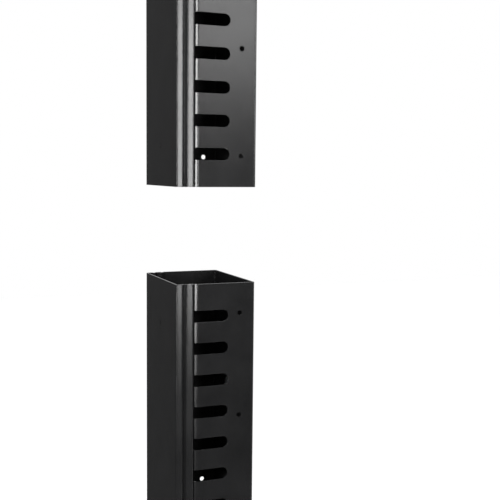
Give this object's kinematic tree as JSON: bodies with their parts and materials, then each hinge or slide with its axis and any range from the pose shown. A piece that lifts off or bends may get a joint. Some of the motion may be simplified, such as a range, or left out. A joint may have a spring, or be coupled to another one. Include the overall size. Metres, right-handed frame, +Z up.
{
  "type": "vertical cable manager",
  "caption": "Vertical cable manager: a pair of slotted folded-steel finger ducts, one above the other, each with a clip-on cover.",
  "frame": {"origin": "on the mounting plane behind the ducts, in the middle of their depth and halfway up the gap between the two sections, which is the centre of the two inner bolts", "axes": "+Z up; +X is the way the bolts point, into what the manager is fastened to, so the ducts stand out along -X; +Y runs from the front to the back"},
  "size_m": [0.0897, 0.1, 1.856],
  "materials": {
    "powder_black": "fine-textured black powder coat",
    "zinc": "bright zinc plate"
  },
  "bodies": {
    "ducts": {"lower_channel": "powder_black", "lower_spacer_bar_bottom": "powder_black", "lower_washer_bottom": "zinc", "lower_bolt_bottom": "zinc", "lower_spacer_bar_middle": "powder_black", "lower_washer_middle": "zinc", "lower_bolt_middle": "zinc", "lower_spacer_bar_top": "powder_black", "lower_washer_top": "zinc", "lower_bolt_top": "zinc", "upper_channel": "powder_black", "upper_spacer_bar_bottom": "powder_black", "upper_washer_bottom": "zinc", "upper_bolt_bottom": "zinc", "upper_spacer_bar_middle": "powder_black", "upper_washer_middle": "zinc", "upper_bolt_middle": "zinc", "upper_spacer_bar_top": "powder_black", "upper_washer_top": "zinc", "upper_bolt_top": "zinc"},
    "lower_cover_body": {"lower_cover": "powder_black"},
    "upper_cover_body": {"upper_cover": "powder_black"}
  },
  "joints": [
    {"name": "lower_cover_pull", "type": "slide", "parent": "ducts", "child": "lower_cover_body", "axis": [-1, 0, 0], "range_m": [0, 0.06]},
    {"name": "upper_cover_pull", "type": "slide", "parent": "ducts", "child": "upper_cover_body", "axis": [-1, 0, 0], "range_m": [0, 0.06]}
  ]
}
